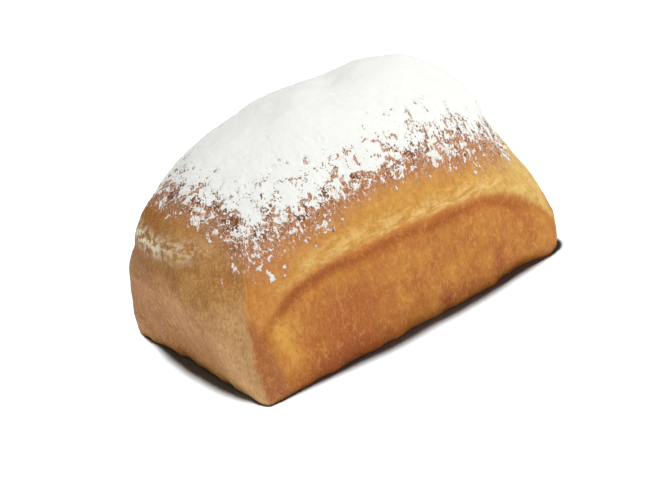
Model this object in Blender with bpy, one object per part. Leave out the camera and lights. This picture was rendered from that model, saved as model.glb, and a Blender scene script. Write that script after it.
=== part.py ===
"""A small sweet bun baked in a loaf tin, as one closed solid.

The bun's length runs along X, +Z is up, and the origin is the middle of the flat base.
Up to the crease the walls took the shape of the tin. Above it the dough rose free, so it
leans in to a crown and its level sections turn from a rounded rectangle to an ellipse.
"""
import bpy
import bmesh
import numpy as np

MM = 0.001

# Size of the bun. "Rim" is the height where the tin ended and the dome starts.
HEIGHT = 65.0 * MM
BASE_HALF_LENGTH = 55.7 * MM
RIM_HALF_LENGTH = 60.0 * MM
BASE_HALF_WIDTH = 36.2 * MM
RIM_HALF_WIDTH = 36.2 * MM

# Rim heights, as shares of the bun's height
RIM_LEFT_END = 0.42
RIM_RIGHT_END = 0.17
RIM_SIDE_MIDDLE = 0.43
RIM_SIDE_CORNER = 0.30
RIM_SIDE_FALL = 3.5

# How the dome closes: half size = rim half size * (1 - share ** bend) ** close
SIDE_BEND, SIDE_CLOSE = 2.5, 0.50
LEFT_BEND, LEFT_CLOSE = 2.8, 0.76
RIGHT_BEND, RIGHT_CLOSE = 3.8, 0.25

# Level sections are superellipses: nearly square corners below, nearly an ellipse on top
BASE_POWER = 20.0
CROWN_POWER = 1.9
POWER_FALL = 4.25

# A narrow ridge makes the near left corner crisp, up to where the dome begins
CORNER_RIDGE = 1.0 * MM
CORNER_RIDGE_WIDTH = 0.07
CORNER_RIDGE_LOW, CORNER_RIDGE_HIGH = 22.0 * MM, 38.0 * MM
NEAR_CORNER_FROM, NEAR_CORNER_TO = 0.4, 0.7

# The far left corner stands out a little at its foot
FAR_CORNER_SWELL = 1.6 * MM
FAR_CORNER_REACH = 24.0 * MM
FAR_CORNER_FROM = 0.2

# The near side's foot is drawn in a little beside its right corner
TUCK = 2.0 * MM
TUCK_X, TUCK_WIDTH = 40.0 * MM, 10.0 * MM
TUCK_REACH = 5.0 * MM

# The crown leans a little to one end and to the far side
CROWN_LEAN_X = -3.7 * MM
CROWN_LEAN_Y = 2.7 * MM

# The crease is an arch on each wall that comes down at the corners, more steeply on the left
CREASE_SIDE = 28.9 * MM
CREASE_TILT = 3.0 * MM
CREASE_LEFT_DROP, CREASE_LEFT_POWER = 25.0 * MM, 3.6
CREASE_RIGHT_DROP, CREASE_RIGHT_POWER = 25.0 * MM, 4.5
CREASE_END = 36.5 * MM
CREASE_END_DROP, CREASE_END_POWER = 13.7 * MM, 4.0
CREASE_WIDTH = 2.1 * MM
CREASE_WANDER = 0.8 * MM
CREASE_FADE_LOW, CREASE_FADE_HIGH = 9.0 * MM, 21.0 * MM
SIDE_CREASE_DEPTH = 1.0 * MM
END_CREASE_DEPTH = 0.35 * MM
LIP_RISE = 4.5 * MM
LIP_WIDTH = 3.2 * MM
LIP_SHARE = 0.7

# Dents and swells of the dome: the x, y, radius and height of each, in millimetres
DENTS = ((-17.0, 10.0, 11.0, -1.3), (10.0, 5.0, 11.0, -1.6), (27.0, 4.0, 8.0, 1.3),
         (44.0, 0.0, 8.0, -0.6), (54.5, -21.5, 6.0, -2.5), (-14.0, 13.0, 6.0, -0.9),
         (11.0, 5.0, 6.0, -0.9), (51.5, -11.5, 5.0, -1.3), (54.0, -16.5, 4.0, 0.8))

# How far, in plan shares, the long sides blend into the ends round a corner
CORNER_BLEND = 0.07

# Waves of the crust: the turn for each millimetre, the phase and the share of each
WANDER_WAVES = ((0.21, 1.0, 0.6), (0.47, 2.2, 0.4))
FOOT_WAVES = ((0.55, 0.6, 1.0), (0.83, 2.0, 0.7), (0.31, 4.0, 0.5))
LUMP_WAVES_LONG = ((0.17, 0.9, 1.0), (0.31, 2.1, 0.6))
LUMP_WAVES_WIDE = ((0.23, 1.17, 1.0), (0.37, 0.5, 0.6))
LUMP_WAVES_HIGH = ((0.29, 0.4, 0.5), )

# Unevenness of the crust
LUMP_HEIGHT = 0.35 * MM
LUMP_LOW_SHARE = 0.35
FOOT_HEIGHT = 0.2 * MM
FOOT_REACH = 4.5 * MM
FOOT_ROUND = 0.3 * MM
FOOT_ROUND_REACH = 1.0 * MM

# Moves the outline so that the box around the bun is centred on the origin
CENTRE_X = 1.28 * MM
CENTRE_Y = -0.85 * MM

# Mesh: cells along the length and the width, and rows up the wall
CELLS_LONG = 52
CELLS_WIDE = 30
ROWS_TO_CREASE, ROWS_TO_CREASE_BEND = 10, 1.15
ROWS_OVER_CREASE, ROWS_OVER_CREASE_BEND = 5, 1.2
TOP_CREASE_ROW = 33.0 * MM
DOME_START = 36.0 * MM
HALVINGS = 40

CRUST_COLOUR = (0.62, 0.31, 0.10, 1.0)
CRUST_ROUGHNESS = 0.65


def smooth_step(value, low, high):
    share = np.clip((value - low) / (high - low), 0.0, 1.0)
    return share * share * (3.0 - 2.0 * share)


def half_size(level, base, rim, rim_level, bend, close):
    """Half length or half width of the level section, level 0 at the base to 1 at the crown."""
    wall = base + (rim - base) * np.minimum(level / rim_level, 1.0)
    share = np.clip((level - rim_level) / (1.0 - rim_level), 0.0, 1.0)
    return wall * (1.0 - share ** bend) ** close


def half_length(level, across):
    """Half length towards the end that the sign of across points to."""
    left = half_size(level, BASE_HALF_LENGTH, RIM_HALF_LENGTH, RIM_LEFT_END, LEFT_BEND, LEFT_CLOSE)
    right = half_size(level, BASE_HALF_LENGTH, RIM_HALF_LENGTH, RIM_RIGHT_END, RIGHT_BEND, RIGHT_CLOSE)
    return np.where(across < 0.0, left, right)


def half_width(level, end_share):
    """Half width, where end_share is 0 in the middle of a long side and 1 at its corners."""
    rise = (RIM_SIDE_MIDDLE - RIM_SIDE_CORNER) * (1.0 - np.clip(end_share, 0.0, 1.0) ** RIM_SIDE_FALL)
    return half_size(level, BASE_HALF_WIDTH, RIM_HALF_WIDTH, RIM_SIDE_CORNER + rise, SIDE_BEND, SIDE_CLOSE)


def section_power(level):
    return CROWN_POWER + (BASE_POWER - CROWN_POWER) * (1.0 - level) ** POWER_FALL


def section_centre(level):
    """Middle of the level section, which moves with the crown's lean."""
    return CENTRE_X + CROWN_LEAN_X * level, CENTRE_Y + CROWN_LEAN_Y * level


def split_direction(u, v):
    """Ring number from 0 at the middle to 1 at the edge, and the direction on the unit square."""
    ring = np.maximum(np.abs(u), np.abs(v))
    middle = ring < 1e-9
    size = np.where(middle, 1.0, ring)
    return ring, np.where(middle, 1.0, u / size), v / size


def outline_point(u, v, z):
    """Point at the height z in the direction (u, v), where max(|u|, |v|) is 1."""
    level = z / HEIGHT
    power = section_power(level)
    reach = (np.abs(u) ** power + np.abs(v) ** power) ** (-1.0 / power)
    centre_x, centre_y = section_centre(level)
    x = centre_x + half_length(level, u) * u * reach
    y = centre_y + half_width(level, np.abs(u) * reach) * v * reach
    return np.stack([x, y, z], axis=-1)


def plan_shares(points):
    """Where points lie across their level section: -1 to 1 along the length and the width."""
    level = np.clip(points[..., 2] / HEIGHT, 0.0, 1.0)
    centre_x, centre_y = section_centre(level)
    along = points[..., 0] - centre_x
    end_share = along / np.maximum(half_length(level, along), 1e-9)
    side_share = (points[..., 1] - centre_y) / np.maximum(half_width(level, np.abs(end_share)), 1e-9)
    return level, end_share, side_share


def is_inside(points):
    """True where a point is inside the smooth bun."""
    level, end_share, side_share = plan_shares(points)
    power = section_power(level)
    reach = np.minimum(np.abs(end_share), 9.0) ** power + np.minimum(np.abs(side_share), 9.0) ** power
    return (points[..., 2] < HEIGHT) & (reach < 1.0)


def dome_point(u, v):
    """Point of the dome over the cell corner (u, v), found along a ray from inside the bun."""
    ring, along, across = split_direction(u, v)
    edge = outline_point(along, across, np.full_like(u, DOME_START))
    centre_x, centre_y = section_centre(DOME_START / HEIGHT)
    start = np.array([centre_x, centre_y, DOME_START])
    tilt = ring * np.pi / 2.0
    ray = (edge - start) * np.sin(tilt)[..., None]
    ray[..., 2] = (HEIGHT - DOME_START) * np.cos(tilt)
    near, far = np.zeros_like(u), np.full_like(u, 2.0)
    for _ in range(HALVINGS):
        middle = (near + far) / 2.0
        inside = is_inside(start + ray * middle[..., None])
        near = np.where(inside, middle, near)
        far = np.where(inside, far, middle)
    return start + ray * near[..., None]


def crease_height(end_share, side_share):
    """Heights of the crease of the long side and of the end, at these plan shares."""
    out = np.minimum(np.abs(end_share), 1.0)
    left = CREASE_LEFT_DROP * out ** CREASE_LEFT_POWER
    right = CREASE_RIGHT_DROP * out ** CREASE_RIGHT_POWER
    on_side = CREASE_SIDE - CREASE_TILT * end_share - np.where(end_share < 0.0, left, right)
    on_end = CREASE_END - CREASE_END_DROP * np.minimum(np.abs(side_share), 1.0) ** CREASE_END_POWER
    return on_side, on_end


def side_amount(end_share, side_share):
    """1 on the long sides, 0 on the ends, and a blend round the corners."""
    return smooth_step(np.abs(side_share) - np.abs(end_share), -CORNER_BLEND, CORNER_BLEND)


def fold(over):
    """Profile of the crease: a groove with a soft lip above it, for the height over the crease."""
    groove = -np.exp(-(over / CREASE_WIDTH) ** 2)
    return groove + LIP_SHARE * np.exp(-((over - LIP_RISE) / LIP_WIDTH) ** 2)


def waves(run, parts):
    """Sum of sine waves along a run in millimetres."""
    return sum(share * np.sin(turn * run + phase) for turn, phase, share in parts)


def relief(points):
    """How far the crust stands out of the smooth bun: the crease, its lip, lumps and the foot."""
    x, y, z = points[..., 0] / MM, points[..., 1] / MM, points[..., 2]
    _, end_share, side_share = plan_shares(points)
    side = side_amount(end_share, side_share)
    wander = CREASE_WANDER * waves(x - y, WANDER_WAVES)
    on_side, on_end = crease_height(end_share, side_share)
    crease = SIDE_CREASE_DEPTH * side * fold(z - on_side - wander)
    crease += END_CREASE_DEPTH * (1.0 - side) * fold(z - on_end - wander)
    crease *= smooth_step(z, CREASE_FADE_LOW, CREASE_FADE_HIGH)
    lumps = waves(x, LUMP_WAVES_LONG) * waves(y, LUMP_WAVES_WIDE) + waves(z / MM, LUMP_WAVES_HIGH)
    lumps *= LUMP_HEIGHT * (LUMP_LOW_SHARE + (1.0 - LUMP_LOW_SHARE) * np.clip(z / DOME_START, 0.0, 1.0))
    dents = np.zeros_like(z)
    for middle_x, middle_y, radius, height in DENTS:
        away = ((x - middle_x) ** 2 + (y - middle_y) ** 2) / radius ** 2
        dents += height * MM * np.exp(-away) * smooth_step(z, CREASE_FADE_HIGH, DOME_START)
    near_corner = smooth_step(-side_share, NEAR_CORNER_FROM, NEAR_CORNER_TO)
    near_corner *= smooth_step(-end_share, NEAR_CORNER_FROM, NEAR_CORNER_TO)
    ridge = np.exp(-np.abs(side_share - end_share) / CORNER_RIDGE_WIDTH)
    ridge *= CORNER_RIDGE * near_corner * (1.0 - smooth_step(z, CORNER_RIDGE_LOW, CORNER_RIDGE_HIGH))
    far_corner = smooth_step(side_share, FAR_CORNER_FROM, 1.0)
    far_corner *= smooth_step(-end_share, FAR_CORNER_FROM, 1.0)
    swell = FAR_CORNER_SWELL * far_corner * (1.0 - smooth_step(z, 0.0, FAR_CORNER_REACH))
    foot = FOOT_HEIGHT * waves(x + y, FOOT_WAVES) * np.exp(-z / FOOT_REACH)
    foot -= FOOT_ROUND * np.exp(-z / FOOT_ROUND_REACH)
    return crease + lumps + dents + ridge + swell + foot


def tuck(points):
    """How far points near the foot of the near side are drawn in."""
    _, _, side_share = plan_shares(points)
    near = np.clip(-side_share, 0.0, 1.0) ** 2
    beside_corner = np.exp(-((points[..., 0] - TUCK_X) / TUCK_WIDTH) ** 2)
    return TUCK * near * beside_corner * (1.0 - smooth_step(points[..., 2], 0.0, TUCK_REACH))


def ring_directions():
    """The (u, v) of each column of the wall, once round the square anticlockwise."""
    long_run = np.linspace(-1.0, 1.0, CELLS_LONG + 1)
    wide_run = np.linspace(-1.0, 1.0, CELLS_WIDE + 1)
    near = [(u, -1.0) for u in long_run[:-1]]
    right = [(1.0, v) for v in wide_run[:-1]]
    far = [(u, 1.0) for u in long_run[:0:-1]]
    left = [(-1.0, v) for v in wide_run[:0:-1]]
    return near + right + far + left


def wall_heights(u, v):
    """Heights of the wall's rows in one column, closer together over the crease."""
    _, end_share, side_share = plan_shares(outline_point(u, v, CREASE_SIDE))
    on_side, on_end = crease_height(end_share, side_share)
    side = side_amount(end_share, side_share)
    crease = min(side * on_side + (1.0 - side) * on_end, TOP_CREASE_ROW)
    below = np.linspace(0.0, 1.0, ROWS_TO_CREASE + 1) ** ROWS_TO_CREASE_BEND
    above = np.linspace(0.0, 1.0, ROWS_OVER_CREASE + 1)[1:] ** ROWS_OVER_CREASE_BEND
    return np.concatenate([crease * below, crease + (DOME_START - crease) * above])


def add_wall(bm):
    """Quads from the base's edge to the dome. Returns the columns by their direction."""
    columns = {}
    order = ring_directions()
    for u, v in order:
        heights = wall_heights(u, v)
        places = outline_point(np.full_like(heights, u), np.full_like(heights, v), heights)
        columns[(u, v)] = [bm.verts.new(place) for place in places]
    for here, there in zip(order, order[1:] + order[:1]):
        for row in range(len(columns[here]) - 1):
            a, b = columns[here], columns[there]
            bm.faces.new((a[row], b[row], b[row + 1], a[row + 1]))
    return columns


def add_patch(bm, columns, row, place, faces_up):
    """A grid of quads that closes the wall at one of its rows, as the base or the dome."""
    long_run = np.linspace(-1.0, 1.0, CELLS_LONG + 1)
    wide_run = np.linspace(-1.0, 1.0, CELLS_WIDE + 1)
    u, v = np.meshgrid(long_run, wide_run, indexing="ij")
    places = place(u, v)
    grid = {}
    for i, along in enumerate(long_run):
        for j, across in enumerate(wide_run):
            on_wall = (along, across) in columns
            grid[i, j] = columns[(along, across)][row] if on_wall else bm.verts.new(places[i, j])
    for i in range(CELLS_LONG):
        for j in range(CELLS_WIDE):
            corners = [grid[i, j], grid[i + 1, j], grid[i + 1, j + 1], grid[i, j + 1]]
            bm.faces.new(corners if faces_up else corners[::-1])


def base_point(u, v):
    """Point of the flat base under the cell corner (u, v)."""
    ring, along, across = split_direction(u, v)
    return outline_point(along, across, np.zeros_like(u)) * ring[..., None]


def raise_relief(bm):
    """Moves the crust along its normals by its relief, with the base kept flat."""
    bm.normal_update()
    points = np.array([vert.co for vert in bm.verts])
    normals = np.array([vert.normal for vert in bm.verts])
    on_base = points[:, 2] < 1e-9
    normals[on_base, 2] = 0.0
    lengths = np.linalg.norm(normals, axis=1)
    inside_base = on_base & (lengths < 0.1)
    height = np.where(inside_base, 0.0, relief(points))
    moved = points + normals / np.maximum(lengths, 0.1)[:, None] * height[:, None]
    moved[:, 1] += tuck(points)
    for vert, place in zip(bm.verts, moved):
        vert.co = place


def crust_material():
    material = bpy.data.materials.new("baked crust")
    material.use_nodes = True
    shader = material.node_tree.nodes["Principled BSDF"]
    shader.inputs["Base Color"].default_value = CRUST_COLOUR
    shader.inputs["Roughness"].default_value = CRUST_ROUGHNESS
    return material


def build_bun():
    bm = bmesh.new()
    columns = add_wall(bm)
    add_patch(bm, columns, 0, base_point, faces_up=False)
    add_patch(bm, columns, -1, dome_point, faces_up=True)
    raise_relief(bm)
    mesh = bpy.data.meshes.new("bun")
    bm.to_mesh(mesh)
    bm.free()
    mesh.materials.append(crust_material())
    mesh.shade_smooth()
    bun = bpy.data.objects.new("bun", mesh)
    bpy.context.scene.collection.objects.link(bun)
    return bun


for old in list(bpy.data.objects):
    bpy.data.objects.remove(old, do_unlink=True)

build_bun()
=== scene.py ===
"""Looks of the quark filled bun: baked crust, icing sugar, floor, light and camera.

The crust has the outline of the solid it replaces, from the same named sizes, with finer cells
and the pores and dents that the solid leaves out. The sugar lies on it as a thin coat that
breaks up into flakes and strokes along its lower edge.
"""

import math

import bmesh
import bpy
import numpy as np
from mathutils import Matrix, Vector, noise


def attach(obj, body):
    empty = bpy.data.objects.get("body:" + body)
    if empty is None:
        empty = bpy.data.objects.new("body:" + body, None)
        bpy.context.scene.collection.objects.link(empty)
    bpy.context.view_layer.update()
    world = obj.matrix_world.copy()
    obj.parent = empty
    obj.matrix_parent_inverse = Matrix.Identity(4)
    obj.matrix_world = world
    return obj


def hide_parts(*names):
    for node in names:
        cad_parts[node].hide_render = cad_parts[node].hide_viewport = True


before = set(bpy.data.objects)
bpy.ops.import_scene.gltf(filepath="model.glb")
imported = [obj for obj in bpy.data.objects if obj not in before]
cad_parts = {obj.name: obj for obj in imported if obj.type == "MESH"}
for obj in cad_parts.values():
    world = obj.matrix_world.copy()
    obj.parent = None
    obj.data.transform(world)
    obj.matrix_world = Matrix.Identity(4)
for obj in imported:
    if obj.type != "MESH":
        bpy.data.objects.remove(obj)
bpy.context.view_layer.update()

MM = 0.001

# Size of the bun. "Rim" is the height where the tin ended and the dome starts.
HEIGHT = 65.0 * MM
BASE_HALF_LENGTH = 55.7 * MM
RIM_HALF_LENGTH = 60.0 * MM
BASE_HALF_WIDTH = 36.2 * MM
RIM_HALF_WIDTH = 36.2 * MM

# Rim heights, as shares of the bun's height
RIM_LEFT_END = 0.42
RIM_RIGHT_END = 0.17
RIM_SIDE_MIDDLE = 0.43
RIM_SIDE_CORNER = 0.30
RIM_SIDE_FALL = 3.5

# How the dome closes: half size = rim half size * (1 - share ** bend) ** close
SIDE_BEND, SIDE_CLOSE = 2.5, 0.50
LEFT_BEND, LEFT_CLOSE = 2.8, 0.76
RIGHT_BEND, RIGHT_CLOSE = 3.8, 0.25

# Level sections are superellipses: nearly square corners below, nearly an ellipse on top
BASE_POWER = 20.0
CROWN_POWER = 1.9
POWER_FALL = 4.25

# A narrow ridge makes the near left corner crisp, up to where the dome begins
CORNER_RIDGE = 1.0 * MM
CORNER_RIDGE_WIDTH = 0.07
CORNER_RIDGE_LOW, CORNER_RIDGE_HIGH = 22.0 * MM, 38.0 * MM
NEAR_CORNER_FROM, NEAR_CORNER_TO = 0.4, 0.7

# The far left corner stands out a little at its foot
FAR_CORNER_SWELL = 1.6 * MM
FAR_CORNER_REACH = 24.0 * MM
FAR_CORNER_FROM = 0.2

# The near side's foot is drawn in a little beside its right corner
TUCK = 2.0 * MM
TUCK_X, TUCK_WIDTH = 40.0 * MM, 10.0 * MM
TUCK_REACH = 5.0 * MM

# The crown leans a little to one end and to the far side
CROWN_LEAN_X = -3.7 * MM
CROWN_LEAN_Y = 2.7 * MM

# The crease is an arch on each wall that comes down at the corners, sooner on the left
CREASE_SIDE = 28.9 * MM
CREASE_TILT = 3.0 * MM
CREASE_LEFT_DROP, CREASE_LEFT_POWER = 25.0 * MM, 3.6
CREASE_RIGHT_DROP, CREASE_RIGHT_POWER = 25.0 * MM, 4.5
CREASE_END = 36.5 * MM
CREASE_END_DROP, CREASE_END_POWER = 13.7 * MM, 4.0
CREASE_WIDTH = 2.1 * MM
CREASE_WANDER = 0.8 * MM
CREASE_FADE_LOW, CREASE_FADE_HIGH = 9.0 * MM, 21.0 * MM
SIDE_CREASE_DEPTH = 1.0 * MM
END_CREASE_DEPTH = 0.35 * MM
LIP_RISE = 4.5 * MM
LIP_WIDTH = 3.2 * MM
LIP_SHARE = 0.7

# Dents and swells of the dome: the x, y, radius and height of each, in millimetres
DENTS = ((-17.0, 10.0, 11.0, -1.3), (10.0, 5.0, 11.0, -1.6), (27.0, 4.0, 8.0, 1.3),
         (44.0, 0.0, 8.0, -0.6), (54.5, -21.5, 6.0, -2.5), (-14.0, 13.0, 6.0, -0.9),
         (11.0, 5.0, 6.0, -0.9), (51.5, -11.5, 5.0, -1.3), (54.0, -16.5, 4.0, 0.8))

# How far, in plan shares, the long sides blend into the ends round a corner
CORNER_BLEND = 0.07

# Waves of the crust: the turn for each millimetre, the phase and the share of each
WANDER_WAVES = ((0.21, 1.0, 0.6), (0.47, 2.2, 0.4))
FOOT_WAVES = ((0.55, 0.6, 1.0), (0.83, 2.0, 0.7), (0.31, 4.0, 0.5))
LUMP_WAVES_LONG = ((0.17, 0.9, 1.0), (0.31, 2.1, 0.6))
LUMP_WAVES_WIDE = ((0.23, 1.17, 1.0), (0.37, 0.5, 0.6))
LUMP_WAVES_HIGH = ((0.29, 0.4, 0.5), )

# Unevenness of the crust
LUMP_HEIGHT = 0.35 * MM
LUMP_LOW_SHARE = 0.35
FOOT_HEIGHT = 0.2 * MM
FOOT_REACH = 4.5 * MM
FOOT_ROUND = 0.3 * MM
FOOT_ROUND_REACH = 1.0 * MM

# Moves the outline so that the box around the bun is centred on the origin
CENTRE_X = 1.28 * MM
CENTRE_Y = -0.85 * MM

# How the dome is found: the reach of the search along a ray, how often that is halved, and the
# most that a plan share counts there
RAY_REACH = 2.0
HALVINGS = 40
FARTHEST_SHARE = 9.0

# So little that it counts as nothing
TINY = 1e-9

# Mesh of the crust: cells along the length and the width, rows up the wall
CRUST_CELLS_LONG = 224
CRUST_CELLS_WIDE = 136
CRUST_ROWS = 82
DOME_START = 36.0 * MM

# Mesh of the sugar coat, and the height its cells start from
COAT_CELLS_LONG = 400
COAT_CELLS_WIDE = 250
COAT_START = 30.0 * MM

# Soft noise: the seed, how fast finer patches fade, and how much finer each octave is
NOISE_SEED = 1
NOISE_FALL = 1.0
NOISE_STEP = 2.0

# Fine relief of the crust: height in millimetres, size of a patch, octaves and seed. The base
# has only a share of it.
FINE_DENTS = (0.16, 5.0 * MM, 3, 0.0)
FINE_GRAIN = (0.07, 1.3 * MM, 2, 7.0)
RAGGED_FOOT = (0.3, 3.5 * MM, 3, 2.0)
RAGGED_FOOT_REACH = 1.5 * MM
FINE_BASE_SHARE = 0.5

# The sugar's ragged edge is an arch on each wall: its height in the middle, its fall towards the
# corners and the power of that fall. Above the low arches lie the first flakes, and above the
# high ones the sugar is full. The arches fall no further outside the corner's plan share.
SUGAR_SIDE_LOW = (44.0 * MM, 13.8 * MM, 1.4)
SUGAR_END_LOW = (48.8 * MM, 37.0 * MM, 3.5)
SUGAR_SIDE_HIGH = (53.0 * MM, 10.0 * MM, 3.0)
SUGAR_END_HIGH = (54.5 * MM, 25.0 * MM, 4.0)
SUGAR_CORNER = 0.71

# On the right end the sugar comes lower, and half as much at its corners
SUGAR_RIGHT_DROP = 12.5 * MM
SUGAR_RIGHT_FROM, SUGAR_RIGHT_TO = 0.55, 0.95
SUGAR_RIGHT_CORNER_FROM, SUGAR_RIGHT_CORNER_TO = 0.6, 0.85
SUGAR_RIGHT_CORNER_SHARE = 0.5

# Where sugar lies: how fast it gathers over the arches, and where it starts, as a cover
SUGAR_GAIN = 2.2
SUGAR_START, SUGAR_SIDE_START = 0.16, 0.1

# Patches of the sugar: share, size of a patch, octaves and seed
FLAKES = (1.6, 1.6 * MM, 3, 3.0)
CLUMPS = (1.0, 6.0 * MM, 2, 11.0)
CRUMBS = (0.4, 0.6 * MM, 2, 31.0)
CRACKS = (1.0, 2.6 * MM, 2, 19.0)
CRACKED_PATCHES = (1.0, 3.5 * MM, 2, 23.0)
POWDER_GRAIN = (0.08, 1.0 * MM, 3, 5.0)
POWDER_SWELLS = (0.2, 3.5 * MM, 2, 9.0)

# Flakes are drawn out upwards, more so on the ends, and curled
FLAKE_STRETCH, FLAKE_SIDE_STRETCH = 0.45, 0.4
CURL, CURL_CELL = 1.3 * MM, 2.2 * MM

# Cracks: their width in the noise, their depth, and where they show
CRACK_WIDTH, CRACK_DEPTH = 0.15, 4.0
CRACKED_FROM, CRACKED_TO = 0.0, 0.25
CRACKS_FADE_FROM, CRACKS_FADE_TO = 1.2, 1.9

# Thickness of the sugar in millimetres, and the covers between which it grows
THICKNESS_GAIN, THICKNESS_LEAST = 0.35, -0.6
THICKNESS_THIN, THICKNESS_MORE = 0.1, 0.4
THICKNESS_FROM, THICKNESS_TO = 0.2, 1.6
POWDER_FROM, POWDER_TO = 0.2, 1.0
SUGAR_RIM_REACH = 0.08 * MM
SUGAR_LEAST = 0.03 * MM

# Camera, seen from the near left corner and a little above, with the photograph's tilt
CAMERA_TURN = math.radians(-30.55)
CAMERA_RISE = math.radians(25.64)
CAMERA_ROLL = math.radians(-11.91)
CAMERA_DISTANCE = 448.1 * MM
CAMERA_TARGET = Vector((-6.16, -2.63, 17.18)) * MM
CAMERA_LENS = 83.33
CAMERA_NEAREST = 10.0 * MM

# Studio lights on the bun, all aimed at its middle: place and size in metres, power in watts
LIGHTS_AIM = (0.0, 0.0, 0.03)
STUDIO_LIGHTS = (("top", (0.20, -0.10, 1.2), 0.5, 12.4),
                 ("front", (0.45, -1.0, 0.30), 0.7, 3.4),
                 ("left", (-1.0, -0.25, 0.35), 0.7, 1.5))

# A light for the floor alone, so strong that the floor shows white outside the bun's shadow
BACKDROP_PLACE = (-0.045, 0.21, 1.2)
BACKDROP_STRENGTH = 13.0
BACKDROP_TINT = (1.15, 1.0, 0.88)
BACKDROP_ANGLE = math.radians(9.5)

# The light from all around, and the floor
STUDIO_TINT = (0.7, 0.85, 1.0, 1.0)
STUDIO_STRENGTH = 0.06
FLOOR_SIZE = 6.0
FLOOR_TINT = (0.29, 0.34, 0.39, 1.0)
FLOOR_ROUGHNESS = 0.9


def smooth_step(value, low, high):
    """0 at low, 1 at high and a soft step between."""
    share = np.clip((value - low) / (high - low), 0.0, 1.0)
    return share * share * (3.0 - 2.0 * share)


def half_size(level, base, rim, rim_level, bend, close):
    """Half length or half width of the level section, level 0 at the base to 1 at the crown."""
    wall = base + (rim - base) * np.minimum(level / rim_level, 1.0)
    share = np.clip((level - rim_level) / (1.0 - rim_level), 0.0, 1.0)
    return wall * (1.0 - share ** bend) ** close


def half_length(level, across):
    """Half length towards the end that the sign of across points to."""
    left = half_size(level, BASE_HALF_LENGTH, RIM_HALF_LENGTH, RIM_LEFT_END,
                     LEFT_BEND, LEFT_CLOSE)
    right = half_size(level, BASE_HALF_LENGTH, RIM_HALF_LENGTH, RIM_RIGHT_END,
                      RIGHT_BEND, RIGHT_CLOSE)
    return np.where(across < 0.0, left, right)


def half_width(level, end_share):
    """Half width, where end_share is 0 in the middle of a long side and 1 at its corners."""
    fall = np.clip(end_share, 0.0, 1.0) ** RIM_SIDE_FALL
    rise = (RIM_SIDE_MIDDLE - RIM_SIDE_CORNER) * (1.0 - fall)
    return half_size(level, BASE_HALF_WIDTH, RIM_HALF_WIDTH, RIM_SIDE_CORNER + rise,
                     SIDE_BEND, SIDE_CLOSE)


def section_power(level):
    """Power of the superellipse at this level."""
    return CROWN_POWER + (BASE_POWER - CROWN_POWER) * (1.0 - level) ** POWER_FALL


def section_centre(level):
    """Middle of the level section, which moves with the crown's lean."""
    return CENTRE_X + CROWN_LEAN_X * level, CENTRE_Y + CROWN_LEAN_Y * level


def split_direction(u, v):
    """Ring number from 0 at the middle to 1 at the edge, and the direction on the unit square."""
    ring = np.maximum(np.abs(u), np.abs(v))
    middle = ring < TINY
    size = np.where(middle, 1.0, ring)
    return ring, np.where(middle, 1.0, u / size), v / size


def outline_point(u, v, z):
    """Point at the height z in the direction (u, v), where max(|u|, |v|) is 1."""
    level = z / HEIGHT
    power = section_power(level)
    reach = (np.abs(u) ** power + np.abs(v) ** power) ** (-1.0 / power)
    centre_x, centre_y = section_centre(level)
    x = centre_x + half_length(level, u) * u * reach
    y = centre_y + half_width(level, np.abs(u) * reach) * v * reach
    return np.stack([x, y, z], axis=-1)


def plan_shares(points):
    """Where points lie across their level section: -1 to 1 along the length and the width."""
    level = np.clip(points[..., 2] / HEIGHT, 0.0, 1.0)
    centre_x, centre_y = section_centre(level)
    along = points[..., 0] - centre_x
    end_share = along / np.maximum(half_length(level, along), TINY)
    across = points[..., 1] - centre_y
    side_share = across / np.maximum(half_width(level, np.abs(end_share)), TINY)
    return level, end_share, side_share


def is_inside(points):
    """True where a point is inside the smooth bun."""
    level, end_share, side_share = plan_shares(points)
    power = section_power(level)
    reach = np.minimum(np.abs(end_share), FARTHEST_SHARE) ** power
    reach += np.minimum(np.abs(side_share), FARTHEST_SHARE) ** power
    return (points[..., 2] < HEIGHT) & (reach < 1.0)


def dome_point(u, v, start_height):
    """Point of the dome over the cell corner (u, v), found along a ray from inside the bun."""
    ring, along, across = split_direction(u, v)
    edge = outline_point(along, across, np.full_like(u, start_height))
    centre_x, centre_y = section_centre(start_height / HEIGHT)
    start = np.array([centre_x, centre_y, start_height])
    tilt = ring * np.pi / 2.0
    ray = (edge - start) * np.sin(tilt)[..., None]
    ray[..., 2] = (HEIGHT - start_height) * np.cos(tilt)
    near, far = np.zeros_like(u), np.full_like(u, RAY_REACH)
    for _ in range(HALVINGS):
        middle = (near + far) / 2.0
        inside = is_inside(start + ray * middle[..., None])
        near = np.where(inside, middle, near)
        far = np.where(inside, far, middle)
    return start + ray * near[..., None]


def crease_height(end_share, side_share):
    """Heights of the crease of the long side and of the end, at these plan shares."""
    out = np.minimum(np.abs(end_share), 1.0)
    left = CREASE_LEFT_DROP * out ** CREASE_LEFT_POWER
    right = CREASE_RIGHT_DROP * out ** CREASE_RIGHT_POWER
    on_side = CREASE_SIDE - CREASE_TILT * end_share - np.where(end_share < 0.0, left, right)
    on_end = CREASE_END - CREASE_END_DROP * np.minimum(np.abs(side_share), 1.0) ** CREASE_END_POWER
    return on_side, on_end


def side_amount(end_share, side_share):
    """1 on the long sides, 0 on the ends, and a blend round the corners."""
    return smooth_step(np.abs(side_share) - np.abs(end_share), -CORNER_BLEND, CORNER_BLEND)


def fold(over):
    """Profile of the crease: a groove with a soft lip above it, for the height over the crease."""
    groove = -np.exp(-(over / CREASE_WIDTH) ** 2)
    return groove + LIP_SHARE * np.exp(-((over - LIP_RISE) / LIP_WIDTH) ** 2)


def waves(run, parts):
    """Sum of sine waves along a run in millimetres."""
    return sum(share * np.sin(turn * run + phase) for turn, phase, share in parts)


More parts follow.
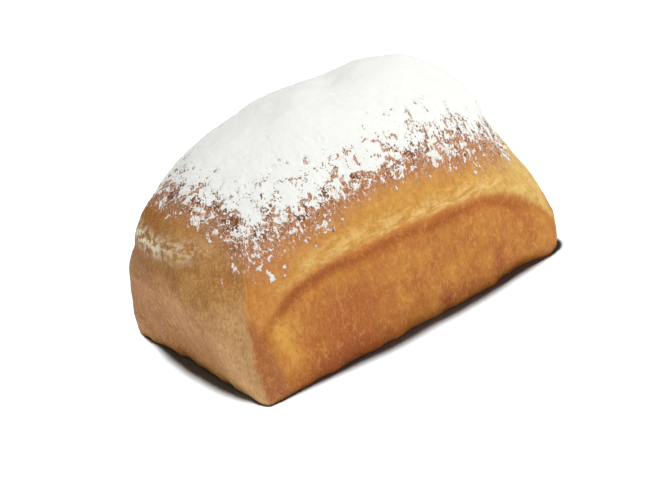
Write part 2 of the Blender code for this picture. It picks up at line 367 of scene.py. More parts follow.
def relief(points):
    """How far the crust stands out of the smooth bun: the crease, its lip, lumps and the foot."""
    x, y, z = points[..., 0] / MM, points[..., 1] / MM, points[..., 2]
    _, end_share, side_share = plan_shares(points)
    side = side_amount(end_share, side_share)
    wander = CREASE_WANDER * waves(x - y, WANDER_WAVES)
    on_side, on_end = crease_height(end_share, side_share)
    crease = SIDE_CREASE_DEPTH * side * fold(z - on_side - wander)
    crease += END_CREASE_DEPTH * (1.0 - side) * fold(z - on_end - wander)
    crease *= smooth_step(z, CREASE_FADE_LOW, CREASE_FADE_HIGH)
    lumps = waves(x, LUMP_WAVES_LONG) * waves(y, LUMP_WAVES_WIDE) + waves(z / MM, LUMP_WAVES_HIGH)
    up_the_wall = np.clip(z / DOME_START, 0.0, 1.0)
    lumps *= LUMP_HEIGHT * (LUMP_LOW_SHARE + (1.0 - LUMP_LOW_SHARE) * up_the_wall)
    dents = np.zeros_like(z)
    for middle_x, middle_y, radius, height in DENTS:
        away = ((x - middle_x) ** 2 + (y - middle_y) ** 2) / radius ** 2
        dents += height * MM * np.exp(-away) * smooth_step(z, CREASE_FADE_HIGH, DOME_START)
    near_corner = smooth_step(-side_share, NEAR_CORNER_FROM, NEAR_CORNER_TO)
    near_corner *= smooth_step(-end_share, NEAR_CORNER_FROM, NEAR_CORNER_TO)
    ridge = np.exp(-np.abs(side_share - end_share) / CORNER_RIDGE_WIDTH)
    below_dome = 1.0 - smooth_step(z, CORNER_RIDGE_LOW, CORNER_RIDGE_HIGH)
    ridge *= CORNER_RIDGE * near_corner * below_dome
    far_corner = smooth_step(side_share, FAR_CORNER_FROM, 1.0)
    far_corner *= smooth_step(-end_share, FAR_CORNER_FROM, 1.0)
    swell = FAR_CORNER_SWELL * far_corner * (1.0 - smooth_step(z, 0.0, FAR_CORNER_REACH))
    foot = FOOT_HEIGHT * waves(x + y, FOOT_WAVES) * np.exp(-z / FOOT_REACH)
    foot -= FOOT_ROUND * np.exp(-z / FOOT_ROUND_REACH)
    return crease + lumps + dents + ridge + swell + foot


def tuck(points):
    """How far points near the foot of the near side are drawn in."""
    _, _, side_share = plan_shares(points)
    near = np.clip(-side_share, 0.0, 1.0) ** 2
    beside_corner = np.exp(-((points[..., 0] - TUCK_X) / TUCK_WIDTH) ** 2)
    return TUCK * near * beside_corner * (1.0 - smooth_step(points[..., 2], 0.0, TUCK_REACH))


def patchy(points, layer):
    """Soft noise at each point, as high as the layer's first number says."""
    height, cell, octaves, seed = layer
    flat = points.reshape(-1, 3) / cell + seed
    values = [noise.fractal(Vector(place), NOISE_FALL, NOISE_STEP, octaves) for place in flat]
    return height * np.array(values).reshape(points.shape[:-1])


def curls(points, cell):
    """A soft random vector at each point, for curling other noise."""
    flat = points.reshape(-1, 3) / cell
    return np.array([noise.noise_vector(Vector(place)) for place in flat]).reshape(points.shape)


def arch_height(arch, out):
    """Height of an arch of the sugar's edge, where out is 0 in its middle and 1 at a corner."""
    middle, fall, power = arch
    return middle - fall * out ** power


def sugar_cover(points):
    """0 where the sugar's ragged edge ends and 1 where the sugar is full, going up the dome."""
    _, end_share, side_share = plan_shares(points)
    side = side_amount(end_share, side_share)
    along = np.minimum(np.abs(end_share), SUGAR_CORNER)
    across = np.minimum(np.abs(side_share), SUGAR_CORNER)
    low = side * arch_height(SUGAR_SIDE_LOW, along)
    low += (1.0 - side) * arch_height(SUGAR_END_LOW, across)
    high = side * arch_height(SUGAR_SIDE_HIGH, along)
    high += (1.0 - side) * arch_height(SUGAR_END_HIGH, across)
    corner = smooth_step(np.abs(side_share), SUGAR_RIGHT_CORNER_FROM, SUGAR_RIGHT_CORNER_TO)
    right_end = smooth_step(end_share, SUGAR_RIGHT_FROM, SUGAR_RIGHT_TO)
    right_end = right_end * (1.0 - SUGAR_RIGHT_CORNER_SHARE * corner)
    return (points[..., 2] + SUGAR_RIGHT_DROP * right_end - low) / (high - low)


def fine_relief(points):
    """Dents and grain of the crust that are too small for the solid."""
    ragged = patchy(points, RAGGED_FOOT) * np.exp(-points[..., 2] / RAGGED_FOOT_REACH)
    return (patchy(points, FINE_DENTS) + patchy(points, FINE_GRAIN) + ragged) * MM


def sugar_thickness(points):
    """How thick the sugar lies, below 0 where there is none: flakes near its edge, full on top."""
    cover = sugar_cover(points)
    _, end_share, side_share = plan_shares(points)
    side = side_amount(end_share, side_share)
    stretched = points.copy()
    stretched[..., 2] *= FLAKE_STRETCH + FLAKE_SIDE_STRETCH * side
    curled = stretched + CURL * curls(stretched, CURL_CELL)
    field = SUGAR_GAIN * (cover - SUGAR_START - SUGAR_SIDE_START * side)
    field = field + patchy(curled, FLAKES) + patchy(points, CLUMPS) + patchy(points, CRUMBS)
    cracks = 1.0 - np.abs(patchy(curled, CRACKS)) / CRACK_WIDTH
    cracked = smooth_step(patchy(points, CRACKED_PATCHES), CRACKED_FROM, CRACKED_TO)
    cracked *= 1.0 - smooth_step(cover, CRACKS_FADE_FROM, CRACKS_FADE_TO)
    field -= CRACK_DEPTH * cracked * np.maximum(cracks, 0.0)
    most = THICKNESS_THIN + THICKNESS_MORE * smooth_step(cover, THICKNESS_FROM, THICKNESS_TO)
    powder = patchy(points, POWDER_GRAIN) + patchy(points, POWDER_SWELLS)
    powder = powder * smooth_step(cover, POWDER_FROM, POWDER_TO)
    return (np.clip(field * THICKNESS_GAIN, THICKNESS_LEAST, most) + powder) * MM


def vertex_normals(mesh):
    """The direction away from the surface at each vertex."""
    normals = np.zeros(len(mesh.vertices) * 3, np.float32)
    mesh.vertex_normals.foreach_get("vector", normals)
    return normals.reshape(-1, 3).astype(float)


def new_mesh_object(name, points, faces):
    """A smooth-shaded piece of these points and faces."""
    mesh = bpy.data.meshes.new(name)
    mesh.from_pydata(points.tolist(), [], faces)
    mesh.update()
    mesh.shade_smooth()
    piece = bpy.data.objects.new(name, mesh)
    bpy.context.scene.collection.objects.link(piece)
    return piece


def move_vertices(mesh, points):
    """Puts the vertices at these points, in the same order."""
    mesh.vertices.foreach_set("co", np.ascontiguousarray(points, np.float32).ravel())
    mesh.update()


def store_values(mesh, name, values):
    """Keeps one number for each vertex, for the material to read."""
    layer = mesh.attributes.new(name, "FLOAT", "POINT")
    layer.data.foreach_set("value", np.ascontiguousarray(values, np.float32))


def ring_directions(cells_long, cells_wide):
    """The (u, v) of each column of the wall, once round the square anticlockwise."""
    long_run = np.linspace(-1.0, 1.0, cells_long + 1)
    wide_run = np.linspace(-1.0, 1.0, cells_wide + 1)
    u = np.concatenate([long_run[:-1], np.ones(cells_wide), long_run[:0:-1], -np.ones(cells_wide)])
    v = np.concatenate([-np.ones(cells_long), wide_run[:-1], np.ones(cells_long), wide_run[:0:-1]])
    return u, v


def edge_columns(cells_long, cells_wide):
    """For each cell corner of the dome, its wall column if it is on the edge, or else -1."""
    column = np.full((cells_long + 1, cells_wide + 1), -1)
    column[:, 0] = np.arange(cells_long + 1)
    column[-1, :] = cells_long + np.arange(cells_wide + 1)
    column[:, -1] = cells_long * 2 + cells_wide - np.arange(cells_long + 1)
    column[0, 1:] = (2 * cells_long + 2 * cells_wide) - np.arange(1, cells_wide + 1)
    return column


def dome_grid(cells_long, cells_wide):
    """The (u, v) of every cell corner of a dome."""
    return np.meshgrid(np.linspace(-1.0, 1.0, cells_long + 1),
                       np.linspace(-1.0, 1.0, cells_wide + 1), indexing="ij")


def cell_corners(number):
    """The four vertex numbers of each cell, from the number of every cell corner."""
    return np.stack([number[:-1, :-1], number[1:, :-1], number[1:, 1:], number[:-1, 1:]], axis=-1)


def wall_and_base_faces(columns, rows):
    """Faces of the wall, whose vertices run up one column after the other, and of the base."""
    faces = []
    for here in range(columns):
        there = (here + 1) % columns
        for row in range(rows - 1):
            a, b = here * rows + row, there * rows + row
            faces.append((a, b, b + 1, a + 1))
    base = [column * rows for column in range(columns)]
    return faces + [base[::-1]]


def smooth_bun():
    """Points and faces of the closed smooth bun, with fine cells on the walls that show."""
    u, v = ring_directions(CRUST_CELLS_LONG, CRUST_CELLS_WIDE)
    columns, rows = len(u), CRUST_ROWS + 1
    heights = np.broadcast_to(DOME_START * np.linspace(0.0, 1.0, rows), (columns, rows))
    wall = outline_point(u[:, None], v[:, None], heights)
    dome = dome_point(*dome_grid(CRUST_CELLS_LONG, CRUST_CELLS_WIDE), DOME_START)
    column = edge_columns(CRUST_CELLS_LONG, CRUST_CELLS_WIDE)
    inner = column < 0
    number = np.where(inner, 0, column * rows + CRUST_ROWS)
    number[inner] = columns * rows + np.arange(inner.sum())
    faces = wall_and_base_faces(columns, rows) + cell_corners(number).reshape(-1, 4).tolist()
    return np.concatenate([wall.reshape(-1, 3), dome[inner]]), faces


def build_crust():
    """The bun's whole surface with its relief, and the values that its finish reads."""
    points, faces = smooth_bun()
    crust = new_mesh_object("bun_crust", points, faces)
    normals = vertex_normals(crust.data)
    on_base = points[:, 2] < TINY
    normals[on_base, 2] = 0.0
    normals /= np.linalg.norm(normals, axis=1)[:, None]
    fine = fine_relief(points) * np.where(on_base, FINE_BASE_SHARE, 1.0)
    moved = points + normals * (relief(points) + fine)[:, None]
    moved[:, 1] += tuck(points)
    move_vertices(crust.data, moved)
    _, end_share, side_share = plan_shares(points)
    on_side, _ = crease_height(end_share, side_share)
    store_values(crust.data, "over_side_crease", (points[:, 2] - on_side) / MM)
    store_values(crust.data, "long_side", side_amount(end_share, side_share))
    store_values(crust.data, "along", end_share)
    store_values(crust.data, "across", side_share)
    store_values(crust.data, "height", points[:, 2] / MM)
    store_values(crust.data, "sugar", sugar_cover(points))
    return crust


def drop_loose_vertices(mesh):
    """Removes the vertices that no face uses."""
    bm = bmesh.new()
    bm.from_mesh(mesh)
    bmesh.ops.delete(bm, geom=[vert for vert in bm.verts if not vert.link_faces], context="VERTS")
    bm.to_mesh(mesh)
    bm.free()


def build_coat():
    """The thin coat of sugar, which dips under the crust where it ends and in its holes."""
    grid = dome_point(*dome_grid(COAT_CELLS_LONG, COAT_CELLS_WIDE), COAT_START)
    points = grid.reshape(-1, 3)
    corners = cell_corners(np.arange(len(points)).reshape(grid.shape[:2]))
    thickness = sugar_thickness(points)
    covered = thickness > -SUGAR_RIM_REACH
    keep = covered[corners].any(axis=-1)
    coat = new_mesh_object("sugar_coat", points, corners[keep].tolist())
    normals = vertex_normals(coat.data)
    raised = np.where(covered, np.maximum(thickness, SUGAR_LEAST), -SUGAR_LEAST)
    lift = relief(points) + fine_relief(points) + raised
    move_vertices(coat.data, points + normals * lift[:, None])
    _, end_share, side_share = plan_shares(points)
    store_values(coat.data, "depth", thickness / MM)
    store_values(coat.data, "sugar", sugar_cover(points))
    store_values(coat.data, "long_side", side_amount(end_share, side_share))
    drop_loose_vertices(coat.data)
    return coat


def colour(red, green, blue):
    """A screen colour from 0 to 255, turned by the sRGB curve into what the shader wants."""
    shares = np.array([red, green, blue]) / 255.0
    linear = np.where(shares <= 0.04045, shares / 12.92, ((shares + 0.055) / 1.055) ** 2.4)
    return (*linear.tolist(), 1.0)


# Sockets of the Mix node when it mixes colours
MIX_SHARE, MIX_FIRST, MIX_SECOND, MIX_RESULT = 0, 6, 7, 2

# The middle of a soft noise in a finish
NOISE_MIDDLE = 0.5


class Value:
    """A number socket that adds Math nodes when it is used in an expression."""

    def __init__(self, finish, socket):
        self.finish = finish
        self.socket = socket

    def math(self, operation, *others):
        """The result of a Math node with this number as its first input."""
        return self.finish.node("ShaderNodeMath", {"operation": operation}, [self, *others])

    def __add__(self, other):
        return self.math("ADD", other)

    def __radd__(self, other):
        return self.math("ADD", other)

    def __sub__(self, other):
        return self.math("SUBTRACT", other)

    def __rsub__(self, other):
        return self.finish.node("ShaderNodeMath", {"operation": "SUBTRACT"}, [other, self])

    def __mul__(self, other):
        return self.math("MULTIPLY", other)

    def __rmul__(self, other):
        return self.math("MULTIPLY", other)

    def __abs__(self):
        return self.math("ABSOLUTE")


class Finish:
    """A material whose nodes are added one call at a time."""

    def __init__(self, name):
        self.material = bpy.data.materials.new(name)
        self.material.use_nodes = True
        self.tree = self.material.node_tree
        self.shader = self.tree.nodes["Principled BSDF"]

    def node(self, kind, settings, inputs, output=0):
        """Adds a node: its settings first, then values or links for its sockets."""
        node = self.tree.nodes.new(kind)
        for name, value in settings.items():
            setattr(node, name, value)
        pairs = inputs.items() if isinstance(inputs, dict) else enumerate(inputs)
        for key, value in pairs:
            self.plug(value, node.inputs[key])
        return Value(self, node.outputs[output])

    def plug(self, value, socket):
        """Links a Value to the socket, or sets the socket to a plain number or colour."""
        if isinstance(value, Value):
            self.tree.links.new(value.socket, socket)
        else:
            socket.default_value = value

    def set(self, **inputs):
        """Sets or links the shader's own sockets, with _ for each space in a name."""
        for name, value in inputs.items():
            self.plug(value, self.shader.inputs[name.replace("_", " ")])

    def place(self):
        """The point of the surface, in metres from the bun's origin."""
        return self.node("ShaderNodeTexCoord", {}, {}, "Object")

    def stored(self, name):
        """The number that the mesh keeps under this name."""
        return self.node("ShaderNodeAttribute", {"attribute_name": name}, {}, "Fac")

    def soft_noise(self, place, width, height, detail, roughness, distortion):
        """Soft noise from 0 to 1, in patches of this width and height in millimetres."""
        cells = (1.0 / (width * MM), 1.0 / (width * MM), 1.0 / (height * MM))
        scaled = self.node("ShaderNodeVectorMath", {"operation": "MULTIPLY"}, [place, cells])
        sockets = {"Vector": scaled, "Scale": 1.0, "Detail": detail, "Roughness": roughness,
                   "Distortion": distortion}
        return self.node("ShaderNodeTexNoise", {}, sockets, "Fac")

    def fade(self, value, low, high, most=1.0):
        """0 at low, most at high and a soft step between."""
        settings = {"interpolation_type": "SMOOTHSTEP", "clamp": True}
        sockets = {"Value": value, "From Min": low, "From Max": high}
        step = self.node("ShaderNodeMapRange", settings, sockets)
        return step if most == 1.0 else step * most

    def peak(self, value, middle, reach):
        """1 at the middle and 0 farther than reach from it."""
        return 1.0 - self.fade(abs(value - middle), 0.0, reach)

    def mix(self, share, first, second):
        """A colour between two, the second one where the share is 1."""
        settings = {"data_type": "RGBA", "clamp_factor": True}
        sockets = {MIX_SHARE: share, MIX_FIRST: first, MIX_SECOND: second}
        return self.node("ShaderNodeMix", settings, sockets, MIX_RESULT)

    def bump(self, height, distance):
        """A normal for small relief that is this high in metres where the height is 1."""
        sockets = {"Height": height, "Distance": distance, "Strength": 1.0}
        return self.node("ShaderNodeBump", {}, sockets)


# Colours as they look on a screen
WALL_BROWN = colour(203, 131, 49)
WALL_RED = colour(173, 87, 34)
WALL_GOLD = colour(224, 162, 70)
SPOT_RED = colour(158, 72, 30)
EDGE_BROWN = colour(160, 92, 52)
# Crease colours: red-brown crust darkened with painted shade under the lip
CREASE_BROWN_IN_SHADE = colour(187, 99, 34)
CREASE_RED_IN_SHADE = colour(166, 80, 34)
BAND_GOLD = colour(214, 154, 67)
# Cream of the band's wrinkles, partly a painted highlight on the lip
BAND_CREAM_AND_HIGHLIGHT = colour(242, 204, 128)
BAND_ORANGE = colour(206, 133, 60)
RIGHT_GOLD = colour(233, 197, 113)
RIM_GOLD = colour(222, 166, 82)
DOME_BROWN = colour(190, 124, 78)
DOME_END_BROWN = colour(160, 111, 77)
# Dark crust with painted shade, for the gaps under the sugar's flakes
DARK_CRUST_AND_SHADE = colour(120, 74, 48)
END_DULL = colour(191, 140, 80)
END_DARK = colour(158, 104, 52)
END_PALE = colour(216, 170, 116)
END_FAR = colour(150, 92, 22)
SMEAR_CREAM = colour(250, 238, 204)
PORE_BROWN = colour(160, 86, 30)
PORE_LIGHT = colour(234, 186, 108)
SUGAR_WHITE = colour(252, 252, 246)
SUGAR_RIM = colour(184, 122, 76)
# Dark crust with painted shade, for the cracks in the sugar
CRACK_CRUST_AND_SHADE = colour(126, 72, 38)

# Soft noises of the finishes: width and height of a patch in millimetres, then the detail, the
# roughness and the distortion
FIBRES = (0.45, 1.6, 2.0, 0.6, 0.6)
SPECKS = (0.35, 0.5, 2.0, 0.6, 0.0)
MOTTLES = (1.8, 2.6, 3.0, 0.6, 0.8)
BLOTCHES = (6.0, 8.0, 5.0, 0.65, 0.0)
PATCHES = (18.0, 13.0, 2.0, 0.5, 0.0)
WRINKLES = (6.0, 2.0, 3.0, 0.55, 0.8)
SMEARS = (2.0, 1.6, 4.0, 0.65, 0.0)
DUST = (0.65, 1.4, 2.0, 0.5, 1.2)
DARK_STROKES = (0.6, 1.5, 2.0, 0.5, 1.0)
SUGAR_GRAINS = (0.4, 0.5, 3.0, 0.7, 1.0)
SUGAR_STROKES = (0.75, 1.6, 2.0, 0.5, 1.2)
SUGAR_GAPS = (4.0, 4.0, 2.0, 0.5, 0.0)

# Marks of the crust. A range goes from where a mark is nothing to where it is full, and a third
# number is the most of it there. A place is a middle and a reach. Heights are in millimetres, the
# length and the width run from -1 to 1, and soft noises from 0 to 1.

# The blotches also shift the marks: by up to half this many millimetres up or down, and along
# the bun by this plan share for each of those millimetres
WOBBLE = 4.0
WOBBLE_ALONG = 0.01

# The wall under the crease
WALL_BLOTCHES = (0.35, 0.7, 0.8)
FOOT_REDDENED = (9.0, 0.0, 0.5)
WALL_GOLD_PATCHES = (0.5, 0.75, 0.4)
REDDISH_PLACE, REDDISH_HEIGHTS, REDDISH_MOST = (-0.42, 0.36), (27.0, 16.0), 0.9
# Painted highlight where the wall's left edge catches the light: its place along and in height
LEFT_EDGE_HIGHLIGHT_PLACE, LEFT_EDGE_HIGHLIGHT_HEIGHTS = (-0.75, 0.09), (18.0, 16.0)

# Reddish spots low on the wall: each one's place along the wall and its place in height
RED_SPOTS = (((0.17, 0.07), (4.5, 7.0)), ((0.53, 0.06), (6.0, 8.0)), ((-0.55, 0.30), (3.0, 6.0)))
SPOT_EVEN, SPOT_MOTTLED = 0.4, 0.8

# The band above the crease, with cream wrinkles that are partly painted highlight on the lip;
# heights here are over the crease
CREAM_PLACE, CREAM_WRINKLES, CREAM_MOST = (4.5, 5.0), (0.42, 0.62), 0.8
BAND_BLOTCHES = (0.45, 0.7, 0.4)
BAND_LEFT_ORANGE = (-0.4, -0.75, 0.9)
BAND_RIGHT_GOLD = (0.35, 0.8, 0.6)
BAND_START, BAND_WOBBLE = (0.3, 3.4), 0.5

# The crease: broad to the right and narrow to the left, each with its lower and its upper side
# The crease's darker colour is painted shade under the lip, over the crust's own red-brown
CREASE_LEFT_PART = (-0.2, -0.4)
BROAD_BELOW, BROAD_ABOVE = (-4.5, -0.4), (3.0, 0.2)
NARROW_BELOW, NARROW_ABOVE, NARROW_WOBBLE = (-3.0, -0.5), (2.4, 0.2), 0.3
CREASE_HEIGHTS, CREASE_RIGHT_TIP, CREASE_MOST = (15.0, 25.0), (0.84, 0.72), 0.8

# The brown near corner and the golden rim of the long side's right end
CORNER_PLACE, CORNER_HEIGHTS, CORNER_MOST = (-0.81, -0.87), (31.0, 20.0), 0.8
CORNER_WOBBLE = 0.008
RIM_PLACE, RIM_HEIGHTS, RIM_MOST = (0.8, 0.92), (14.0, 24.0), 0.8

# The ends: blotches, the dark foot, the pale stretch beside the near corner and the brown far
# half; then the right end's gold, and where the right end and the long sides start
END_BLOTCHES = (0.35, 0.7)
END_LOW_DARK = (32.0, 6.0, 0.8)
PALE_PLACE, PALE_HEIGHTS, PALE_MOST = (-0.4, -0.8), (32.0, 24.0), 0.8
PALE_WOBBLE = 0.06
END_FAR_BROWN = (-0.3, 0.2, 0.7)
RIGHT_END_GOLD = (12.0, 20.0)
RIGHT_END_START = (0.0, 0.5)
SIDE_START = (0.2, 0.8)

# The dome under the sugar; the sugar's cover is 0 where its edge ends and 1 where it is full
DOME_MIDDLE_BROWN = (0.3, 0.6)
DOME_RIGHT_GOLD = (0.68, 0.88, 0.8)
DOME_BAKED, DOME_WOBBLE = (-0.45, 0.25), 0.08

# Mottles, fibres and specks all over the crust
MOTTLES_DARK, MOTTLES_LIGHT = (0.45, 0.7, 0.32), (0.5, 0.25, 0.3)
FIBRES_DARK, FIBRES_LIGHT = (0.48, 0.66), (0.48, 0.32)
HAIRY_END, HAIRY_SIDE_LESS = 0.35, 0.2
SPECKS_LIGHT = (0.52, 0.7, 0.2)

# Cream smears near the top of the left end, fainter on its near part
SMEARS_SHOW, SMEARS_PLACE, SMEARS_END = (0.41, 0.59), (41.0, 4.5), (-0.8, -1.0)
SMEARS_NEAR, SMEARS_FAR = 0.6, (-0.3, 0.1)

# Sugar dust on the crust, and dark strokes where it is bare: darker crust with painted shade in
# the gaps
DUST_SHOWS, DUST_BY_COVER = (0.58, 0.72), 0.22
DUST_START, DUST_MOST = (-0.35, 0.05), 0.7
STROKES_SHOW, STROKES_START, STROKES_MOST = (0.5, 0.62), (-0.1, 0.3), 0.6

# Surface of the crust
CRUST_ROUGHNESS = 0.62
CRUST_GLOSS = 0.25
PORES, PORE_SHARE = 0.5 * MM, 0.4

# The sugar coat: its grain frays its rim, more near its edge
SUGAR_EDGE = (1.1, 0.5)
SUGAR_FRAY, SUGAR_EDGE_FRAY = 0.15, 0.4
SUGAR_WHITE_FROM, SUGAR_WHITE_TO = -0.06, 0.14

# Brown strokes through the sugar, dark crust with painted shade in its cracks: most where its edge
# is half covered, fewer on the long sides
GAPS_WEIGHT = 0.8
HALF_COVERED, HALF_COVERED_WEIGHT = 0.5, 0.24
SIDE_WEIGHT = 0.02
BROWN_STROKES_SHOW = (0.5, 0.59)

# Surface of the sugar
POWDER_ROUGHNESS = 0.9
POWDER_BUMP = 0.25 * MM


class CrustFinish(Finish):
    """The baked crust: its colours follow the walls, the crease, the ends and the dome."""

    def __init__(self):
        super().__init__("baked crust")
        self.spot = self.place()
        self.over_side = self.stored("over_side_crease")
        self.side = self.stored("long_side")
        self.along = self.stored("along")
        self.across = self.stored("across")
        self.height = self.stored("height")
        self.sugar = self.stored("sugar")
        self.fibres = self.soft_noise(self.spot, *FIBRES)
        self.specks = self.soft_noise(self.spot, *SPECKS)
        self.mottles = self.soft_noise(self.spot, *MOTTLES)
        self.blotches = self.soft_noise(self.spot, *BLOTCHES)
        self.wobble = (self.blotches - NOISE_MIDDLE) * WOBBLE
        self.wobbly_height = self.height + self.wobble
        crust = self.mix(self.fade(self.side, *SIDE_START), self.ends(), self.long_side())
        baked = self.fade(self.sugar + self.wobble * DOME_WOBBLE, *DOME_BAKED)
        crust = self.grained(self.mix(baked, crust, self.dome()))
        crust = self.dusted(self.smeared(crust))
        pores = self.fibres * PORE_SHARE + self.specks * PORE_SHARE + self.mottles * PORE_SHARE
        self.set(Base_Color=crust, Roughness=CRUST_ROUGHNESS, Specular_IOR_Level=CRUST_GLOSS,
                 Normal=self.bump(pores, PORES))

    def wall(self):
        """The wall under the crease, which the tin has browned, with a painted highlight near its
        left edge.
        """
        patches = self.soft_noise(self.spot, *PATCHES)
        wall = self.mix(self.fade(self.blotches, *WALL_BLOTCHES), WALL_BROWN, WALL_RED)
        wall = self.mix(self.fade(self.wobbly_height, *FOOT_REDDENED), wall, WALL_RED)
        wall = self.mix(self.fade(patches, *WALL_GOLD_PATCHES), wall, WALL_GOLD)
        reddish = self.peak(self.along, *REDDISH_PLACE)
        reddish = reddish * self.fade(self.wobbly_height, *REDDISH_HEIGHTS)
        wall = self.mix(reddish * REDDISH_MOST, wall, WALL_RED)
        for place_along, place_up in RED_SPOTS:
            spot = self.peak(self.along, *place_along) * self.peak(self.wobbly_height, *place_up)
            wall = self.mix(spot * (SPOT_EVEN + self.mottles * SPOT_MOTTLED), wall, SPOT_RED)
        # Painted highlight: the left edge of the wall lit gold
        painted_highlight = self.peak(self.along + self.wobble * WOBBLE_ALONG, *LEFT_EDGE_HIGHLIGHT_PLACE)
        painted_highlight = painted_highlight * self.peak(self.height, *LEFT_EDGE_HIGHLIGHT_HEIGHTS)
        return self.mix(painted_highlight, wall, WALL_GOLD)

    def band(self):
        """The band above the crease: gold with cream wrinkles and a painted highlight on its lip,
        orange to the left.
        """
        wrinkles = self.soft_noise(self.spot, *WRINKLES)
        # Painted highlight on the lip, mixed with the cream wrinkles
        cream = self.peak(self.over_side, *CREAM_PLACE) * self.fade(wrinkles, *CREAM_WRINKLES)
        band = self.mix(cream * CREAM_MOST, BAND_GOLD, BAND_CREAM_AND_HIGHLIGHT)
        band = self.mix(self.fade(self.blotches, *BAND_BLOTCHES), band, BAND_ORANGE)
        band = self.mix(self.fade(self.along, *BAND_LEFT_ORANGE), band, BAND_ORANGE)
        return self.mix(self.fade(self.along, *BAND_RIGHT_GOLD), band, RIGHT_GOLD)

    def long_side(self):
        """A long side: the wall, the band, the crease between them with painted shade, a corner
        and the rim.
        """
        band_share = self.fade(self.over_side + self.wobble * BAND_WOBBLE, *BAND_START)
        side = self.mix(band_share, self.wall(), self.band())
        left = self.fade(self.along, *CREASE_LEFT_PART)
        broad = self.fade(self.over_side, *BROAD_BELOW) * self.fade(self.over_side, *BROAD_ABOVE)
        narrow = self.fade(self.over_side + self.wobble * NARROW_WOBBLE, *NARROW_BELOW)
        narrow = narrow * self.fade(self.over_side, *NARROW_ABOVE)
        crease = broad * (1.0 - left) + narrow * left
        crease = crease * self.fade(self.height, *CREASE_HEIGHTS)
        crease = crease * self.fade(self.along, *CREASE_RIGHT_TIP)
        # Painted shade in the crease, under the lip
        side = self.mix(crease * CREASE_MOST, side, self.mix(left, CREASE_BROWN_IN_SHADE, CREASE_RED_IN_SHADE))
        corner = self.fade(self.along + self.wobble * CORNER_WOBBLE, *CORNER_PLACE)
        corner = corner * self.fade(self.height, *CORNER_HEIGHTS)
        side = self.mix(corner * CORNER_MOST, side, EDGE_BROWN)
        rim = self.fade(self.along + self.wobble * WOBBLE_ALONG, *RIM_PLACE)
        rim = rim * self.fade(self.wobbly_height, *RIM_HEIGHTS)
        return self.mix(rim * RIM_MOST, side, RIM_GOLD)

    def ends(self):
        """The dull left end, paler beside the near corner, and the golden right end."""
        end = self.mix(self.fade(self.blotches, *END_BLOTCHES), END_DULL, END_DARK)
        end = self.mix(self.fade(self.wobbly_height, *END_LOW_DARK), end, END_DARK)
        pale = self.fade(self.across + self.wobble * PALE_WOBBLE, *PALE_PLACE)
        pale = pale * self.fade(self.height, *PALE_HEIGHTS)
        end = self.mix(pale * PALE_MOST, end, END_PALE)
        end = self.mix(self.fade(self.across, *END_FAR_BROWN), end, END_FAR)
        golden = self.fade(self.wobbly_height, *RIGHT_END_GOLD)
        right_end = self.mix(golden, WALL_BROWN, RIGHT_GOLD)
        return self.mix(self.fade(self.along, *RIGHT_END_START), end, right_end)

    def dome(self):
        """The browned dome, which shows between the flakes of sugar."""
        dome = self.mix(self.side, DOME_END_BROWN, DOME_BROWN)
        dome = self.mix(self.fade(self.along, *DOME_MIDDLE_BROWN), dome, DOME_BROWN)
        return self.mix(self.fade(self.along, *DOME_RIGHT_GOLD), dome, RIGHT_GOLD)

    def grained(self, crust):
        """The crust with its mottles, fine fibres and specks."""
        crust = self.mix(self.fade(self.mottles, *MOTTLES_DARK), crust, PORE_BROWN)
        crust = self.mix(self.fade(self.mottles, *MOTTLES_LIGHT), crust, PORE_LIGHT)
        hairy = HAIRY_END - self.side * HAIRY_SIDE_LESS
        crust = self.mix(self.fade(self.fibres, *FIBRES_DARK) * hairy, crust, PORE_BROWN)
        crust = self.mix(self.fade(self.fibres, *FIBRES_LIGHT) * hairy, crust, PORE_LIGHT)
        return self.mix(self.fade(self.specks, *SPECKS_LIGHT), crust, PORE_LIGHT)

    def smeared(self, crust):
        """The crust with the cream smears of its left end."""
        smears = self.fade(self.soft_noise(self.spot, *SMEARS), *SMEARS_SHOW)
        smears = smears * self.peak(self.height, *SMEARS_PLACE)
        smears = smears * self.fade(self.along, *SMEARS_END)
        far = self.fade(self.across, *SMEARS_FAR)
        smears = smears * (SMEARS_NEAR + (1.0 - SMEARS_NEAR) * far)
        return self.mix(smears * (1.0 - self.side), crust, SMEAR_CREAM)

    def dusted(self, crust):
        """The crust with sugar dust and, where it is bare under the flakes, dark strokes of darker
        crust with painted shade.
        """
        dust = self.soft_noise(self.spot, *DUST)
        dust = self.fade(dust + self.sugar * DUST_BY_COVER, *DUST_SHOWS)
        dust = dust * self.fade(self.sugar, *DUST_START)
        crust = self.mix(dust * DUST_MOST, crust, SUGAR_WHITE)
        # Painted shade: dark strokes in the gaps where the crust is bare
        strokes = self.fade(self.soft_noise(self.spot, *DARK_STROKES), *STROKES_SHOW)
        strokes = strokes * self.fade(self.sugar, *STROKES_START)
        return self.mix(strokes * STROKES_MOST, crust, DARK_CRUST_AND_SHADE)


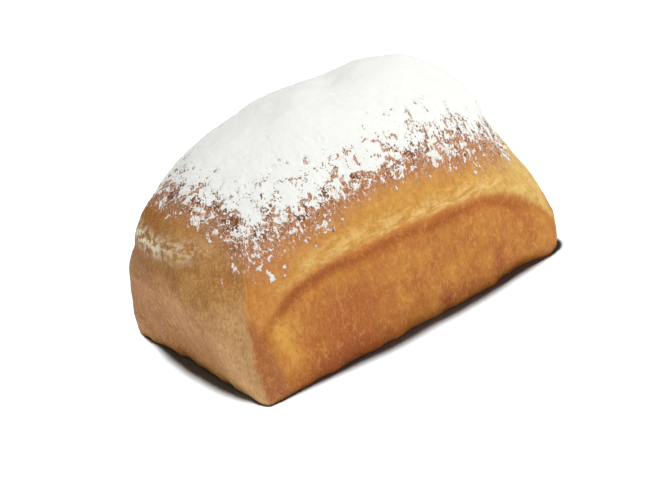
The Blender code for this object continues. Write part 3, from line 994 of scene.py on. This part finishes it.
def sugar_finish():
    """Icing sugar: white, brown at its frayed rim, and near its edge fine strokes of dark crust
    with painted shade.
    """
    finish = Finish("icing sugar")
    place = finish.place()
    grain = finish.soft_noise(place, *SUGAR_GRAINS)
    sugar = finish.stored("sugar")
    fray = SUGAR_FRAY + finish.fade(sugar, *SUGAR_EDGE) * SUGAR_EDGE_FRAY
    worn = finish.stored("depth") + (grain - NOISE_MIDDLE) * fray
    whiteness = finish.fade(worn, SUGAR_WHITE_FROM, SUGAR_WHITE_TO)
    white = finish.mix(whiteness, SUGAR_RIM, SUGAR_WHITE)
    strokes = finish.soft_noise(place, *SUGAR_STROKES)
    gaps = (finish.soft_noise(place, *SUGAR_GAPS) - NOISE_MIDDLE) * GAPS_WEIGHT
    thin = gaps - abs(sugar - HALF_COVERED) * HALF_COVERED_WEIGHT
    thin = thin - finish.stored("long_side") * SIDE_WEIGHT
    # Painted shade: dark crust in the sugar's cracks
    white = finish.mix(finish.fade(strokes + thin, *BROWN_STROKES_SHOW), white, CRACK_CRUST_AND_SHADE)
    finish.set(Base_Color=white, Roughness=POWDER_ROUGHNESS,
               Normal=finish.bump(grain, POWDER_BUMP))
    return finish.material


def floor_finish():
    """The pale floor, dull all over."""
    finish = Finish("pale floor")
    finish.set(Base_Color=FLOOR_TINT, Roughness=FLOOR_ROUGHNESS)
    return finish.material


def aimed_light(name, kind, place, energy):
    """A light at this place that points at the bun."""
    data = bpy.data.lights.new(name, kind)
    data.energy = energy
    light = bpy.data.objects.new(name, data)
    light.location = place
    aim = Vector(LIGHTS_AIM) - Vector(place)
    light.rotation_euler = aim.to_track_quat("-Z", "Y").to_euler()
    bpy.context.scene.collection.objects.link(light)
    return light


def build_stage():
    """The floor that the bun stands on."""
    bpy.ops.mesh.primitive_plane_add(size=FLOOR_SIZE)
    floor = bpy.context.object
    floor.name = "floor"
    floor.data.materials.append(floor_finish())
    return floor


def choose_receiver(light, piece, state):
    """Lets the light fall on this piece alone, or on everything but this piece."""
    group = bpy.data.collections.new(light.name + " receivers")
    group.objects.link(piece)
    group.collection_objects[0].light_linking.link_state = state
    light.light_linking.receiver_collection = group


def build_lights(floor):
    """Studio lights for the bun, the backdrop for the floor, and the light from all around."""
    for name, place, size, power in STUDIO_LIGHTS:
        light = aimed_light(name, "AREA", place, power)
        light.data.size = size
        choose_receiver(light, floor, "EXCLUDE")
    backdrop = aimed_light("backdrop", "SUN", BACKDROP_PLACE, BACKDROP_STRENGTH)
    backdrop.data.color = BACKDROP_TINT
    backdrop.data.angle = BACKDROP_ANGLE
    choose_receiver(backdrop, floor, "INCLUDE")
    world = bpy.data.worlds.new("studio")
    world.use_nodes = True
    background = world.node_tree.nodes["Background"]
    background.inputs["Color"].default_value = STUDIO_TINT
    background.inputs["Strength"].default_value = STUDIO_STRENGTH
    bpy.context.scene.world = world


def build_camera():
    """The camera at the photograph's viewing angle, with the photograph's tilt."""
    back = Vector((math.sin(CAMERA_TURN) * math.cos(CAMERA_RISE),
                   -math.cos(CAMERA_TURN) * math.cos(CAMERA_RISE), math.sin(CAMERA_RISE)))
    level_right = Vector((math.cos(CAMERA_TURN), math.sin(CAMERA_TURN), 0.0))
    level_up = back.cross(level_right)
    right = level_right * math.cos(CAMERA_ROLL) + level_up * math.sin(CAMERA_ROLL)
    up = level_up * math.cos(CAMERA_ROLL) - level_right * math.sin(CAMERA_ROLL)
    data = bpy.data.cameras.new("camera")
    data.lens = CAMERA_LENS
    data.clip_start = CAMERA_NEAREST
    camera = bpy.data.objects.new("camera", data)
    turn = Matrix((right, up, back)).transposed().to_4x4()
    camera.matrix_world = Matrix.Translation(CAMERA_TARGET + back * CAMERA_DISTANCE) @ turn
    bpy.context.scene.collection.objects.link(camera)
    bpy.context.scene.camera = camera


noise.seed_set(NOISE_SEED)
build_camera()
build_lights(build_stage())

crust = build_crust()
crust.data.materials.append(CrustFinish().material)
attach(crust, "root")
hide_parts("bun")

coat = build_coat()
coat.data.materials.append(sugar_finish())
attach(coat, "root")

bpy.context.scene.view_settings.view_transform = "Standard"
